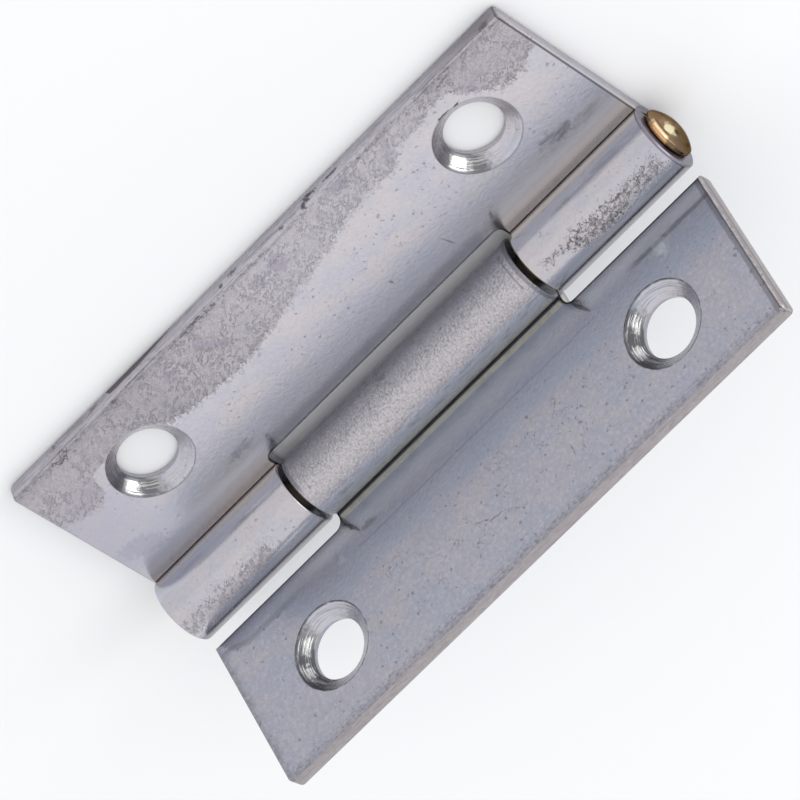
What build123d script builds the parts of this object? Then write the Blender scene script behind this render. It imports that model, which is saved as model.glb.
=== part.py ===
"""Narrow butt hinge: two sheet leaves with rolled knuckles, turning on a pin with a domed head.

All sizes are in millimetres. The leaf with the two outer knuckles lies flat with its back face on
z = 0 and its countersinks facing up. The pin runs along Y, with its head at the +Y end. The origin is
on the back face of that leaf, midway between its screw holes.
"""

import os

from math import asin, degrees, isclose

from build123d import *

# Sheet, pin and barrel
hinge_length = 50.0
sheet_thickness = 1.3
pin_diameter = 2.9
pin_clearance = 0.03

# Knuckles along the pin
outer_knuckle_length = 13.0
knuckle_gap = 0.45
rim_radius = 0.2

# Leaves, measured outwards from the pin's axis, and the room their cut-outs leave round the barrel
leaf_reach = 16.4
slot_clearance = 0.5
cutback_clearance = 0.5
slot_corner_radius = 0.5
cutback_corner_radius = 0.7
tail_corner_radius = 0.5
head_corner_radius = 0.35
front_edge_radius = 0.25

# Lip, where the rolled sheet comes back to the front face of its own leaf
lip_gap = 0.04
lip_lean = 20.0

# Countersunk screw holes
screw_reach = 10.3
screw_spacing = 33.8
screw_hole_diameter = 4.5
countersink_diameter = 6.5
countersink_angle = 100.0

# Pin head, measured from the end of the barrel, and the pin's plain end
head_diameter = 4.1
head_height = 1.2
head_rim_height = 0.5
head_edge_radius = 0.2
head_seat_gap = 0.05
tail_recess = 0.15
tail_chamfer = 0.25

# Angle between the two front faces as the hinge stands
opening_angle = 105.0

# Sizes that follow from those above
pin_radius = pin_diameter / 2
bore_radius = pin_radius + pin_clearance
barrel_radius = bore_radius + sheet_thickness
slot_reach = barrel_radius + slot_clearance
cutback_reach = barrel_radius + cutback_clearance
slot_length = hinge_length - 2 * outer_knuckle_length
middle_knuckle_length = slot_length - 2 * knuckle_gap
cutback_length = (hinge_length - middle_knuckle_length) / 2
outer_knuckle_centre = (hinge_length - outer_knuckle_length) / 2

# Frames of the two leaves: X outwards along the leaf, Z out of its front face, and the origin on its
# back face straight behind the pin
pin_frame = Plane(origin=(screw_reach, 0, barrel_radius))
outer_frame = pin_frame.rotated((0, 0, 180)).offset(-barrel_radius)
middle_frame = pin_frame.rotated((0, opening_angle - 180, 0)).offset(-barrel_radius)


def across_pin(leaf_frame, along):
    """Plane across the pin at this Y, with its own X outwards along the leaf and Y towards its front."""
    outwards = leaf_frame.x_dir
    return Plane(
        origin=(screw_reach, along, barrel_radius), x_dir=outwards, z_dir=outwards.cross(leaf_frame.z_dir)
    )


def rolled_section(planes):
    """Section of a knuckle: the sheet comes round the pin from behind and ends in a lip.

    The lip's outer corner stops just short of the leaf's front face, which is level with the lowest
    point of the bore. The cut end of the sheet leans, so its inner corner sits further round.
    """
    behind = 270
    lip_angle = degrees(asin((bore_radius - lip_gap) / barrel_radius))
    inner_angle = lip_angle + lip_lean
    with BuildSketch(*planes) as section:
        with BuildLine():
            outside = CenterArc((0, 0), barrel_radius, behind, -behind - lip_angle)
            inside = CenterArc((0, 0), bore_radius, -inner_angle, behind + inner_angle)
            Line(outside @ 1, inside @ 0)
            Line(inside @ 1, outside @ 0)
        make_face()
    return section.sketch


def front_edges(leaf, leaf_frame):
    """Edges round the front face of a flat blank, leaving out its root behind the pin."""
    front_face = leaf.faces().sort_by(Axis(leaf_frame.origin, leaf_frame.z_dir))[-1]
    root = front_face.edges().group_by(Axis(leaf_frame.origin, leaf_frame.x_dir))[0]
    return front_face.edges() - root


def barrel_rims(leaf):
    """Outer edges of the knuckles' ends."""
    arcs = leaf.edges().filter_by(GeomType.CIRCLE)
    return arcs.filter_by(lambda arc: isclose(arc.radius, barrel_radius, rel_tol=1e-6))


def screw_places(leaf_frame):
    """Places of the two screw holes on a leaf's front face, with Z out of the face."""
    front = leaf_frame.offset(sheet_thickness)
    return [front * Location((screw_reach, side * screw_spacing / 2, 0)) for side in (-1, 1)]


# Leaf with the two outer knuckles
with BuildPart() as leaf_outer_knuckles:
    with BuildSketch(outer_frame) as outer_blank:
        with Locations((leaf_reach / 2, 0)):
            Rectangle(leaf_reach, hinge_length)
        with Locations((slot_reach / 2, 0)):
            Rectangle(slot_reach, slot_length, mode=Mode.SUBTRACT)
        slot_corners = outer_blank.vertices().group_by(Axis.X)[1]
        fillet(slot_corners, slot_corner_radius)
        fillet(outer_blank.vertices().group_by(Axis.X)[-1].sort_by(Axis.Y)[0], head_corner_radius)
        fillet(outer_blank.vertices().group_by(Axis.X)[-1].sort_by(Axis.Y)[-1], tail_corner_radius)
    extrude(amount=sheet_thickness)
    fillet(front_edges(leaf_outer_knuckles, outer_frame), front_edge_radius)
    outer_sections = [across_pin(outer_frame, side * outer_knuckle_centre) for side in (-1, 1)]
    extrude(rolled_section(outer_sections), amount=outer_knuckle_length / 2, both=True)
    fillet(barrel_rims(leaf_outer_knuckles), rim_radius)
    with Locations(*screw_places(outer_frame)):
        CounterSinkHole(screw_hole_diameter / 2, countersink_diameter / 2, counter_sink_angle=countersink_angle)
leaf_outer_knuckles.part.label = "leaf_outer_knuckles"


# Leaf with the middle knuckle
with BuildPart() as leaf_middle_knuckle:
    with BuildSketch(middle_frame) as middle_blank:
        with Locations((leaf_reach / 2, 0)):
            Rectangle(leaf_reach, hinge_length)
        for side in (-1, 1):
            with Locations((cutback_reach / 2, side * (hinge_length - cutback_length) / 2)):
                Rectangle(cutback_reach, cutback_length, mode=Mode.SUBTRACT)
        cutback_corners = middle_blank.vertices().group_by(Axis.X)[1].sort_by(Axis.Y)[1:-1]
        fillet(cutback_corners, cutback_corner_radius)
        fillet(middle_blank.vertices().group_by(Axis.X)[-1].sort_by(Axis.Y)[-1], head_corner_radius)
        fillet(middle_blank.vertices().group_by(Axis.X)[-1].sort_by(Axis.Y)[0], tail_corner_radius)
    extrude(amount=sheet_thickness)
    fillet(front_edges(leaf_middle_knuckle, middle_frame), front_edge_radius)
    extrude(rolled_section([across_pin(middle_frame, 0)]), amount=middle_knuckle_length / 2, both=True)
    fillet(barrel_rims(leaf_middle_knuckle), rim_radius)
    with Locations(*screw_places(middle_frame)):
        CounterSinkHole(screw_hole_diameter / 2, countersink_diameter / 2, counter_sink_angle=countersink_angle)
leaf_middle_knuckle.part.label = "leaf_middle_knuckle"


# Pin with its domed head, turned about its own axis and measured from the end of the barrel
head_radius = head_diameter / 2
tail_end = tail_recess - hinge_length
head_frame = Plane(origin=(screw_reach, hinge_length / 2, barrel_radius))
with BuildPart() as hinge_pin:
    with BuildSketch(head_frame) as pin_half:
        with BuildLine():
            Polyline(
                (head_radius, head_rim_height),
                (head_radius, head_seat_gap),
                (pin_radius, head_seat_gap),
                (pin_radius, tail_end + tail_chamfer),
                (pin_radius - tail_chamfer, tail_end),
                (0, tail_end),
                (0, head_height),
            )
            TangentArc((0, head_height), (head_radius, head_rim_height), tangent=(1, 0))
        make_face()
        fillet(pin_half.vertices().group_by(Axis.X)[-1], head_edge_radius)
    revolve(axis=Axis(head_frame.origin, head_frame.y_dir))
hinge_pin.part.label = "hinge_pin"


os.makedirs("parts", exist_ok=True)
export_step(leaf_outer_knuckles.part, "parts/leaf_outer_knuckles.step")
export_step(leaf_middle_knuckle.part, "parts/leaf_middle_knuckle.step")
export_step(hinge_pin.part, "parts/hinge_pin.step")
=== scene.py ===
# %% [markdown]
# # A narrow butt hinge
# Two leaves of zinc-plated sheet are rolled round one pin with a brass head. This lesson dresses the
# three solids of the hinge: it sets up a camera and soft light, builds the finishes from noise and
# measured places, and adds the fine relief that a tool and a plating bath leave on real steel.
#
# The first step brings in the solids. They stay as they are, so everything else is fitted to them.

# %% The solids
import math

import bpy
from mathutils import Matrix, Vector

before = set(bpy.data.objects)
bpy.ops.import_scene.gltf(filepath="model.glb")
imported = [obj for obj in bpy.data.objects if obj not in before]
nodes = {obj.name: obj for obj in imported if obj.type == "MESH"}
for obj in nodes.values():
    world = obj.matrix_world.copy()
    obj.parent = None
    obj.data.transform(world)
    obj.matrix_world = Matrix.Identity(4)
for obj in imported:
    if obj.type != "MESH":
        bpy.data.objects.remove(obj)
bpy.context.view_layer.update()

print("solids:", {name: len(piece.data.polygons) for name, piece in nodes.items()})

# %% [markdown]
# ## Sizes that the finishes follow
# Wear, rings and stains sit at places on the hinge, so a few of its sizes are needed again here, in
# millimetres. Each leaf has its own directions: outwards from the pin, along the pin from its plain
# end, and up from the leaf's back. A Mapping node turns the object's coordinates into those three.
# Round the barrel, places are counted from the line that faces the camera.

# %% Sizes in millimetres
millimetres = 1000.0
pin_place = (10.3, 2.78)
barrel_radius = 2.78
sheet = 1.3
leaf_reach = 16.4
length = 50.0
outer_knuckle = 13.0
screw_reach = 10.3
screw_step = 16.9
hole_radius = 2.25
sink_radius = 3.25
lip_corner = 2.38
facing_line = 2.55
opening = 105.0
print("leaf B stands", opening, "degrees from leaf A")

# %% [markdown]
# ## Camera
# The photograph looks down on the hinge with a long lens, and it is turned so that the pin runs from
# lower left to upper right. The camera's place and its three directions come from matching the edges
# of the hinge, so they are written as numbers rather than found by pointing it by hand.

# %% Camera
camera_place = Vector((-0.291547, 0.164063, 0.397759))
camera_right = Vector((0.694431, 0.676107, 0.246263))
camera_up = Vector((-0.431198, 0.664994, -0.609796))
camera_back = Vector((-0.576051, 0.317273, 0.753328))
focal_pixels = 7463.97
frame_pixels = 800

lens = bpy.data.cameras.new("camera")
lens.sensor_width = 36.0
lens.lens = focal_pixels / frame_pixels * lens.sensor_width
lens.clip_start = 0.01
lens.clip_end = 10.0
camera = bpy.data.objects.new("camera", lens)
turn = Matrix((camera_right, camera_up, camera_back)).transposed()
camera.matrix_world = Matrix.Translation(camera_place) @ turn.to_4x4()
bpy.context.scene.collection.objects.link(camera)
bpy.context.scene.camera = camera
bpy.context.scene.view_settings.view_transform = "Standard"
print("lens", round(lens.lens, 1), "mm")

# %% [markdown]
# ## Wiring nodes
# A finish is a net of small nodes. Writing each link by hand hides the idea, so this helper adds one
# node per call and hands back its output: the lines of a finish then read like a sum.


# %% A helper that adds one node per call
class Net:
    """A node tree being wired. Each method adds a node and returns the socket that it puts out."""

    def __init__(self, tree):
        self.tree = tree

    def feed(self, socket, value):
        """Links a socket to an input, or sets the input's own value."""
        if isinstance(value, bpy.types.NodeSocket):
            self.tree.links.new(value, socket)
        elif value is not None:
            socket.default_value = value

    def add(self, kind, feeds, out=0, **options):
        """Adds a node of this kind. feeds maps an input's name or number to what it gets."""
        node = self.tree.nodes.new(kind)
        for name, value in options.items():
            setattr(node, name, value)
        for key, value in feeds.items():
            self.feed(node.inputs[key], value)
        return node.outputs[out]

    def math(self, operation, a, b=None):
        return self.add("ShaderNodeMath", {0: a, 1: b}, operation=operation)

    def vector(self, operation, a, b=None, c=None, out=0):
        return self.add("ShaderNodeVectorMath", {0: a, 1: b, 2: c}, out=out, operation=operation)

    def ramp(self, value, low, high):
        """0 at low, 1 at high, with a smooth S between them. low may be the larger one."""
        feeds = {0: value, 1: low, 2: high}
        return self.add("ShaderNodeMapRange", feeds, interpolation_type="SMOOTHSTEP")

    def band(self, value, middle, half, soft):
        """1 where value is within half of middle, fading to 0 over soft."""
        return self.ramp(self.apart(value, middle), half + soft, half)

    def minus(self, a, b):
        return self.math("SUBTRACT", a, b)

    def apart(self, a, b):
        """How far two numbers are apart."""
        return self.math("ABSOLUTE", self.minus(a, b))

    def most(self, a, b):
        return self.math("MAXIMUM", a, b)

    def least(self, a, b):
        return self.math("MINIMUM", a, b)

    def scale(self, value, share):
        return self.math("MULTIPLY", value, share)

    def swing(self, noise, amount):
        """A noise's swing to both sides of its middle, times an amount."""
        return self.scale(self.minus(noise, 0.5), amount)

    def hypot(self, a, b):
        """The length of a line that goes a one way and b square to it."""
        return self.math("SQRT", self.sum(self.both(a, a), self.both(b, b)))

    def both(self, *values):
        """The values multiplied: a mask that is 1 only where all of them are."""
        product = values[0]
        for value in values[1:]:
            product = self.math("MULTIPLY", product, value)
        return product

    def sum(self, *values):
        total = values[0]
        for value in values[1:]:
            total = self.math("ADD", total, value)
        return total

    def blend(self, share, a, b):
        """From number a to number b as share goes from 0 to 1."""
        return self.add("ShaderNodeMix", {0: share, 2: a, 3: b}, out=0, data_type="FLOAT")

    def paint(self, share, a, b):
        """Colour b laid over colour a with this share."""
        return self.add("ShaderNodeMix", {0: share, 6: a, 7: b}, out=2, data_type="RGBA")

    def tint(self, colour, shade, *masks):
        """A plain shade, of three numbers, laid over a colour with the product of these masks."""
        return self.paint(self.both(*masks), colour, [*shade, 1.0])

    def coats(self, colour, *listed):
        """Lays coats over a colour, one after another, each (shade, masks)."""
        for shade, *masks in listed:
            colour = self.tint(colour, shade, *masks)
        return colour

    def stretch(self, place, sizes):
        """The place divided by three sizes, so that noise comes out longer along the larger ones."""
        return self.vector("DIVIDE", place, sizes)

    def turn(self, place, angle):
        """The place turned about the third direction."""
        feeds = {"Vector": place, "Angle": angle}
        return self.add("ShaderNodeVectorRotate", feeds, rotation_type="Z_AXIS")

    def noise(self, place, size, detail=5.0, rough=0.7, warp=0.0):
        """Cloudy noise from 0 to 1, in blots about this many millimetres wide, or of three sizes."""
        if isinstance(size, tuple):
            place, size = self.stretch(place, size), 1.0
        scale = 1.0 / size if isinstance(size, float) else self.math("DIVIDE", 1.0, size)
        feeds = {"Vector": place, "Scale": scale, "Detail": detail, "Roughness": rough, "Distortion": warp}
        return self.add("ShaderNodeTexNoise", feeds)

    def split(self, place):
        """The three parts of a place."""
        return tuple(self.add("ShaderNodeSeparateXYZ", {0: place}).node.outputs)

    def join(self, x, y, z):
        """A place made of three numbers."""
        return self.add("ShaderNodeCombineXYZ", {0: x, 1: y, 2: z})

    def group(self, group, feeds):
        """Places a shared effect and returns all its outputs by name."""
        return self.add("ShaderNodeGroup", feeds, node_tree=group).node.outputs

    def tell(self, what):
        print(what, "done, nodes so far:", len(self.tree.nodes))


# %% [markdown]
# ## Shared effects
# What several finishes need is built once, as a node group with named sockets. A group only works out
# numbers, masks and colours. The shader itself stays in each finish, so that it can be found there.

# %% A helper that makes a node group
kinds = {float: "NodeSocketFloat", tuple: "NodeSocketVector", list: "NodeSocketColor"}
origin = (0.0, 0.0, 0.0)


def shared_effect(name, inputs, wire):
    """Makes a node group. inputs maps names to start values, and wire returns the outputs by name.

    A number makes a plain socket, a tuple a place or size, and a list a colour.
    """
    tree = bpy.data.node_groups.new(name, "ShaderNodeTree")
    for label, value in inputs.items():
        kind = kinds[type(value)]
        socket = tree.interface.new_socket(name=label, in_out="INPUT", socket_type=kind)
        socket.default_value = value
    net = Net(tree)
    results = wire(net, tree.nodes.new("NodeGroupInput").outputs)
    for label in results:
        kind = "NodeSocketColor" if label == "Colour" else "NodeSocketFloat"
        tree.interface.new_socket(name=label, in_out="OUTPUT", socket_type=kind)
    made = tree.nodes.new("NodeGroupOutput").inputs
    for label, socket in results.items():
        net.feed(made[label], socket)
    net.tell("effect " + name)
    return tree


# %% [markdown]
# ## Where a point lies on its leaf
# Stains and bands are easier to place on the unrolled sheet. From a leaf's own directions this effect
# works out how far a point is from the pin's axis, how far round the barrel it lies, and how far from
# the nearest screw hole's axis. The two holes are mirror images, so folding the length at its middle
# lets one formula serve both.


# %% Effect: place on a leaf
def wire_leaf_place(net, given):
    """Radius is the length from the pin's axis, and around is its angle times the barrel's radius.

    Hole and spin are the length and the angle from the nearest screw hole's axis. Border is the
    smaller one of the ways to the leaf's end and to its outer edge.
    """
    out, along, up = net.split(given["Place"])
    above = net.minus(up, pin_place[1])
    radius = net.hypot(out, above)
    around = net.scale(net.math("ARCTAN2", above, out), barrel_radius)
    folded = net.apart(along, length / 2)
    sideways = net.minus(folded, screw_step)
    onwards = net.minus(out, screw_reach)
    hole = net.hypot(onwards, sideways)
    towards_head = net.math("SIGN", net.minus(along, length / 2))
    spin = net.math("ARCTAN2", net.both(sideways, towards_head), onwards)
    ends = net.minus(length / 2, folded)
    border = net.least(ends, net.minus(leaf_reach, out))
    knuckle = net.ramp(radius, barrel_radius + 0.12, barrel_radius + 0.04)
    return {
        "Out": out, "Along": along, "Up": up, "Radius": radius, "Around": around, "Hole": hole,
        "Spin": spin, "Ends": ends, "Border": border, "Knuckle": knuckle,
    }


leaf_place = shared_effect("leaf place", {"Place": origin}, wire_leaf_place)

# %% [markdown]
# ## Clear zinc plating
# Plated steel is never one grey. The bath leaves soft clouds, warmer here and bluer there, the sheet
# below shows a fine grain, and handling adds specks and hairlines. Each of these is one noise at its
# own scale. A hairline is a contour line of a noise: the places where it is very nearly one half.


# %% Effect: plating
def wire_plating(net, given):
    """Clouds choose between two greys, and grain, specks and hairlines are laid over them in turn."""
    place = given["Place"]
    clouds = net.noise(place, (2.0, 3.0, 2.0), detail=4.0, rough=0.55, warp=0.3)
    colour = net.paint(net.ramp(clouds, 0.34, 0.66), given["Cool"], given["Warm"])
    grain = net.noise(place, 0.3, rough=0.72)
    colour = net.tint(colour, [0.15, 0.15, 0.175], net.ramp(grain, 0.56, 0.3), given["Grain"])
    colour = net.tint(colour, [0.8, 0.77, 0.8], net.ramp(grain, 0.5, 0.72), given["Grain"])
    cells = net.add("ShaderNodeTexVoronoi", {"Vector": place, "Scale": 2.1}).node.outputs
    chance = net.split(cells["Color"])[0]
    dot_radius = net.scale(net.ramp(chance, 0.57, 1.0), 0.2)
    uneven = net.swing(grain, 1.3)
    dots = net.ramp(net.minus(net.sum(cells["Distance"], uneven), dot_radius), 0.03, -0.06)
    specks = net.both(dots, given["Specks"])
    colour = net.tint(colour, [0.15, 0.14, 0.16], specks)
    wander = net.noise(place, 2.6, rough=0.52, warp=0.3)
    contour = net.band(wander, 0.5, 0.001, 0.006)
    gaps = net.ramp(net.noise(place, 1.9, detail=2.0, rough=0.5), 0.47, 0.53)
    hairs = net.both(contour, gaps, net.ramp(grain, 0.42, 0.5), given["Hairlines"])
    colour = net.tint(colour, [0.1, 0.095, 0.11], hairs)
    rough = net.sum(given["Roughness"], net.scale(clouds, -0.04), net.scale(grain, 0.05))
    height = net.sum(net.scale(grain, 0.008), net.scale(specks, -0.01))
    return {"Colour": colour, "Roughness": rough, "Height": height}


plating = shared_effect(
    "plating",
    {
        "Place": origin, "Warm": [0.585, 0.55, 0.57, 1.0], "Cool": [0.535, 0.525, 0.58, 1.0],
        "Grain": 0.1, "Specks": 0.5, "Hairlines": 0.4, "Roughness": 0.18,
    },
    wire_plating,
)

# %% [markdown]
# ## Flaked zinc
# Where the bath went wrong the zinc is dull and flaky, with a torn edge. The effect takes how many
# millimetres a point lies inside the patch and tears that edge with noise at three scales. Inside,
# fine dark and pale flecks lie slantwise, and contour lines with a pale line beside them read as the
# rims of larger flakes.


# %% Effect: flaked zinc
def wire_flaked(net, given):
    """The mask is inside plus noise times tear, cut off at nought. Flakes of two sizes colour it."""
    place = given["Place"]
    leaning = net.turn(place, math.radians(45))
    broad = net.noise(place, 1.7, detail=4.0, rough=0.6, warp=0.5)
    slanted = net.stretch(leaning, (0.8, 1.4, 1.0))
    flakes = net.noise(slanted, given["Flake"], rough=0.68, warp=0.4)
    fine = net.noise(slanted, net.scale(given["Flake"], 0.36), detail=3.0, rough=0.6)
    spikes = net.noise(place, (0.5, 0.3, 0.5), rough=0.8)
    jagged = net.sum(net.scale(broad, 3.0), net.scale(spikes, 7.0), net.scale(flakes, 8.0))
    torn = net.minus(jagged, 9.0)
    inside = net.sum(given["Inside"], net.both(torn, given["Tear"]))
    mask = net.ramp(inside, -0.03, 0.05)
    colour = net.paint(net.ramp(flakes, 0.36, 0.62), given["Dark"], given["Light"])
    shadow = [0.2, 0.185, 0.205]
    colour = net.tint(colour, shadow, net.ramp(fine, 0.47, 0.33), given["Flecks"])
    colour = net.paint(net.both(net.ramp(fine, 0.54, 0.68), given["Flecks"]), colour, given["Crest"])
    near_rim = net.both(net.ramp(inside, 1.3, 0.2), 0.8)
    dense = net.most(net.ramp(broad, 0.56, 0.44), near_rim)
    groove = net.band(flakes, 0.455, 0.006, 0.022)
    crest = net.band(flakes, 0.545, 0.01, 0.025)
    colour = net.paint(net.both(crest, dense, given["Lines"]), colour, given["Crest"])
    colour = net.tint(colour, [0.14, 0.13, 0.145], groove, dense, given["Lines"])
    fringe = net.both(net.ramp(inside, 0.3, 0.05), net.ramp(flakes, 0.53, 0.43), 0.5)
    colour = net.tint(colour, shadow, fringe)
    raised = net.sum(net.scale(flakes, 0.07), net.scale(fine, 0.02), -0.045)
    height = net.both(net.sum(raised, net.both(groove, dense, -0.02)), mask, given["Relief"])
    return {"Mask": mask, "Colour": colour, "Height": height}


flaked = shared_effect(
    "flaked zinc",
    {
        "Place": origin, "Inside": 0.0, "Tear": 0.3, "Flake": 0.3,
        "Light": [0.535, 0.5, 0.53, 1.0], "Dark": [0.435, 0.405, 0.44, 1.0],
        "Crest": [0.62, 0.58, 0.61, 1.0], "Lines": 0.22, "Flecks": 0.55, "Relief": 0.5,
    },
    wire_flaked,
)

# %% [markdown]
# ## One stain or nick
# Single marks, such as a smudge or a scored line, each have a place, a length and a width on the
# leaf. The mark is an ellipse in the leaf's own directions, torn a little by noise.


# %% Effect: mark
through = 9.0  # millimetres, so that a mark reaches through the sheet


def wire_mark(net, given):
    """The way from the centre, turned and divided by the sizes, has a length of 1 at the border."""
    across = net.vector("SUBTRACT", given["Place"], given["Centre"])
    shaped = net.stretch(net.turn(across, given["Turn"]), given["Size"])
    far = net.vector("LENGTH", shaped, out="Value")
    return {"Mask": net.ramp(net.sum(far, given["Torn"]), 1.0, 0.6)}


mark = shared_effect(
    "mark",
    {"Place": origin, "Centre": origin, "Size": (1.0, 1.0, through), "Turn": 0.0, "Torn": 0.0},
    wire_mark,
)


def marks(net, place, torn, listed):
    """The strongest of several marks, each (out, along, half width, half length, turn, strength)."""
    total = 0.0
    for out, along, wide, long, turn, strength in listed:
        feeds = {"Place": place, "Torn": torn, "Turn": math.radians(turn)}
        feeds.update({"Centre": (out, along, sheet), "Size": (wide, long, through)})
        one = net.group(mark, feeds)["Mask"]
        total = net.most(total, net.scale(one, strength))
    return total


# %% [markdown]
# ## Turned countersinks
# A countersinking tool chatters, so the cone shows uneven rings. They follow the distance from the
# hole's axis. Noise stretched along the ring breaks them up. On the side towards the hinge's plain
# end, painted shade makes the bare cuts nearly black, with painted highlights on the facets between
# them. One or two narrow places carry painted gleams, and on the darker leaf painted light makes one
# side of each cone pale.


# %% Effect: turned rings
def wire_turned(net, given):
    """Streaks are noise of the distance from the hole and of the sine and cosine of the spin.

    Painted gloom, painted gleams and the painted pale side are ranges of the spin, with noise added to it.
    """
    hole, spin, place, end = given["Hole"], given["Spin"], given["Place"], given["End"]
    within = net.ramp(hole, sink_radius + 0.04, sink_radius - 0.03)
    inside = net.both(within, net.ramp(given["Up"], 0.2, 0.42))
    patches = net.noise(place, 0.7, rough=0.65)
    offset = net.minus(patches, 0.5)
    rings = net.scale(net.sum(hole, net.scale(patches, 0.12)), 9.0)
    cosine, sine = (net.scale(net.math(name, spin), 0.8) for name in ("COSINE", "SINE"))
    streaks = net.noise(net.join(rings, cosine, sine), 1.0, detail=4.0, rough=0.62)
    turned_spin = net.sum(spin, net.scale(offset, 1.0), net.scale(streaks, 0.5), -0.25)
    # Painted shade: on the side towards the plain end the cuts come out nearly black.
    from_start = net.ramp(turned_spin, -2.85, -2.45)
    gloom = net.both(from_start, net.ramp(turned_spin, end, net.minus(end, 0.7)))
    # Painted gleams, in one or two narrow places.
    first = net.band(turned_spin, given["Gleam"], 0.1, 0.24)
    second = net.band(turned_spin, given["Second"], 0.08, 0.22)
    # Painted light on one side of the cone.
    from_pale = net.math("COSINE", net.minus(net.sum(spin, offset), given["Pale"]))
    pale = net.both(net.ramp(from_pale, 0.62, 0.86), net.ramp(streaks, 0.38, 0.52), inside)
    outside = net.ramp(hole, hole_radius + 0.05, hole_radius + 0.25)
    below_rim = net.ramp(hole, sink_radius - 0.05, sink_radius - 0.25)
    gleam = net.both(net.most(first, second), outside, below_rim)
    groove = net.both(net.ramp(streaks, 0.5, 0.36), inside)
    rim = net.both(net.band(hole, sink_radius, 0.03, 0.06), net.ramp(patches, 0.36, 0.56))
    lip = net.both(rim, net.ramp(given["Up"], 0.8, 1.1))
    height = net.both(net.sum(net.scale(streaks, 0.035), net.scale(patches, 0.03)), inside)
    return {
        "Inside": inside, "Gloom": net.both(gloom, inside), "Facet highlights": net.ramp(streaks, 0.5, 0.64),
        "Gleam": net.both(gleam, inside), "Sparkle": net.ramp(net.sum(streaks, given["Full"]), 0.42, 0.54),
        "Groove": groove, "Lip": lip, "Height": height, "Pale": pale,
    }


turned = shared_effect(
    "turned rings",
    {
        "Place": origin, "Hole": 0.0, "Spin": 0.0, "Up": 0.0,
        "Gleam": -1.87, "Second": -1.87, "End": -0.7, "Full": 0.0, "Pale": 2.85,
    },
    wire_turned,
)


def countersinks(net, place, at, colour, rough, height, rim, gloom, pale, **gleams):
    """Lays both countersinks over a finish: grooves, a rim, and painted light, shade, facets and gleams."""
    feeds = {name: at[name] for name in ("Hole", "Spin", "Up")}
    cut = net.group(turned, {"Place": place, **feeds, **gleams})
    colour = net.coats(
        colour,
        ([0.2, 0.195, 0.2], cut["Groove"], 0.22),
        # Painted light on one side, painted shade in the cuts, painted highlights on their facets, painted
        # gleams.
        ([0.66, 0.62, 0.64], cut["Pale"], pale),
        ([0.085, 0.085, 0.09], cut["Gloom"], gloom),
        ([0.5, 0.49, 0.48], cut["Gloom"], cut["Facet highlights"]),
        ([1.0, 0.99, 0.96], cut["Gleam"], cut["Sparkle"]),
        ([0.12, 0.115, 0.12], cut["Lip"], rim),
    )
    rough = net.blend(cut["Inside"], rough, 0.22)
    around = net.ramp(cut["Inside"], 1.0, 0.0)
    return colour, rough, net.sum(net.both(height, around), cut["Height"])


# %% [markdown]
# ## Cut edges, seams and ends
# Sheet is sheared to size, and a sheared face has a bright burnished band and a dull torn one. Beside
# the rolled lip, painted shade darkens the crevice of the seam and a painted glint runs along it. Painted
# shade makes thin dark rings at the ends of the barrel, and the rounded edges get painted shade along
# their fold and a painted highlight on their crest.


# %% Effect: sheared edges
def wire_sheared(net, given):
    """Up plus noise parts the burnished band from the torn one. Painted fold shade and crest highlight
    follow the border.
    """
    place, border, up = given["Place"], given["Border"], given["Up"]
    face = net.ramp(border, 0.035, 0.012)
    torn = net.noise(place, (0.8, 0.8, 0.12), detail=4.0)
    off = net.minus(torn, 0.5)
    burnished = net.ramp(net.sum(up, net.scale(off, 0.8)), 0.55, 0.68)
    colour = net.paint(burnished, given["Torn"], given["Burnished"])
    colour = net.tint(colour, [0.12, 0.11, 0.12], net.ramp(torn, 0.5, 0.38), 0.3)
    shifted = net.sum(border, net.scale(off, 0.15))
    # Painted shade along the fold of a rounded edge, and a painted highlight on its crest.
    fold_shade = net.band(shifted, 0.34, 0.03, 0.12)
    crest = net.band(shifted, 0.1, 0.03, 0.06)
    height = net.both(net.scale(torn, 0.03), face)
    return {"Face": face, "Colour": colour, "Fold shade": fold_shade, "Crest": crest, "Height": height}


sheared = shared_effect(
    "sheared edges",
    {
        "Place": origin, "Border": 0.0, "Up": 0.0,
        "Torn": [0.47, 0.45, 0.5, 1.0], "Burnished": [0.53, 0.505, 0.55, 1.0],
    },
    wire_sheared,
)


# %% Effect: seam beside the rolled lip
def wire_seam(net, given):
    """Far is the way from the corner of the lip, and each band is a range of it."""
    out, up, radius = given["Out"], given["Up"], given["Radius"]
    sideways = net.minus(out, lip_corner)
    upwards = net.minus(up, sheet + 0.03)
    far = net.hypot(sideways, upwards)
    width = given["Width"]
    # Painted shade in the crevice of the seam.
    crevice_shade = net.ramp(far, net.sum(width, 0.14), width)
    on_sheet = net.ramp(radius, barrel_radius + 0.01, barrel_radius + 0.05)
    line = net.both(net.band(far, net.sum(width, 0.4), 0.15, 0.14), on_sheet)
    front = net.ramp(up, sheet - 0.2, sheet - 0.05)
    haze = net.both(net.ramp(out, 4.3, 2.7), on_sheet, front)
    # A painted glint along the seam.
    glint = net.both(net.band(far, net.sum(width, 0.14), 0.02, 0.06), net.ramp(on_sheet, 0.5, 0.2))
    return {"Dark": crevice_shade, "Line": line, "Haze": haze, "Glint": glint}


seam = shared_effect("seam", {"Out": 0.0, "Up": 0.0, "Radius": 0.0, "Width": 0.08}, wire_seam)

# %% [markdown]
# ## Starting and ending a finish
# Every finish begins the same way: a Principled shader, and the object's coordinates turned into
# millimetres in the leaf's own directions. It also ends the same way: the colour, the roughness and
# the relief go to the shader, and the solid gets the finish in place of what it came with.


# %% Helpers that start and end a finish
def new_material(name):
    """A material and its Principled shader."""
    material = bpy.data.materials.new(name)
    material.use_nodes = True
    return material, next(node for node in material.node_tree.nodes if node.type == "BSDF_PRINCIPLED")


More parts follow.
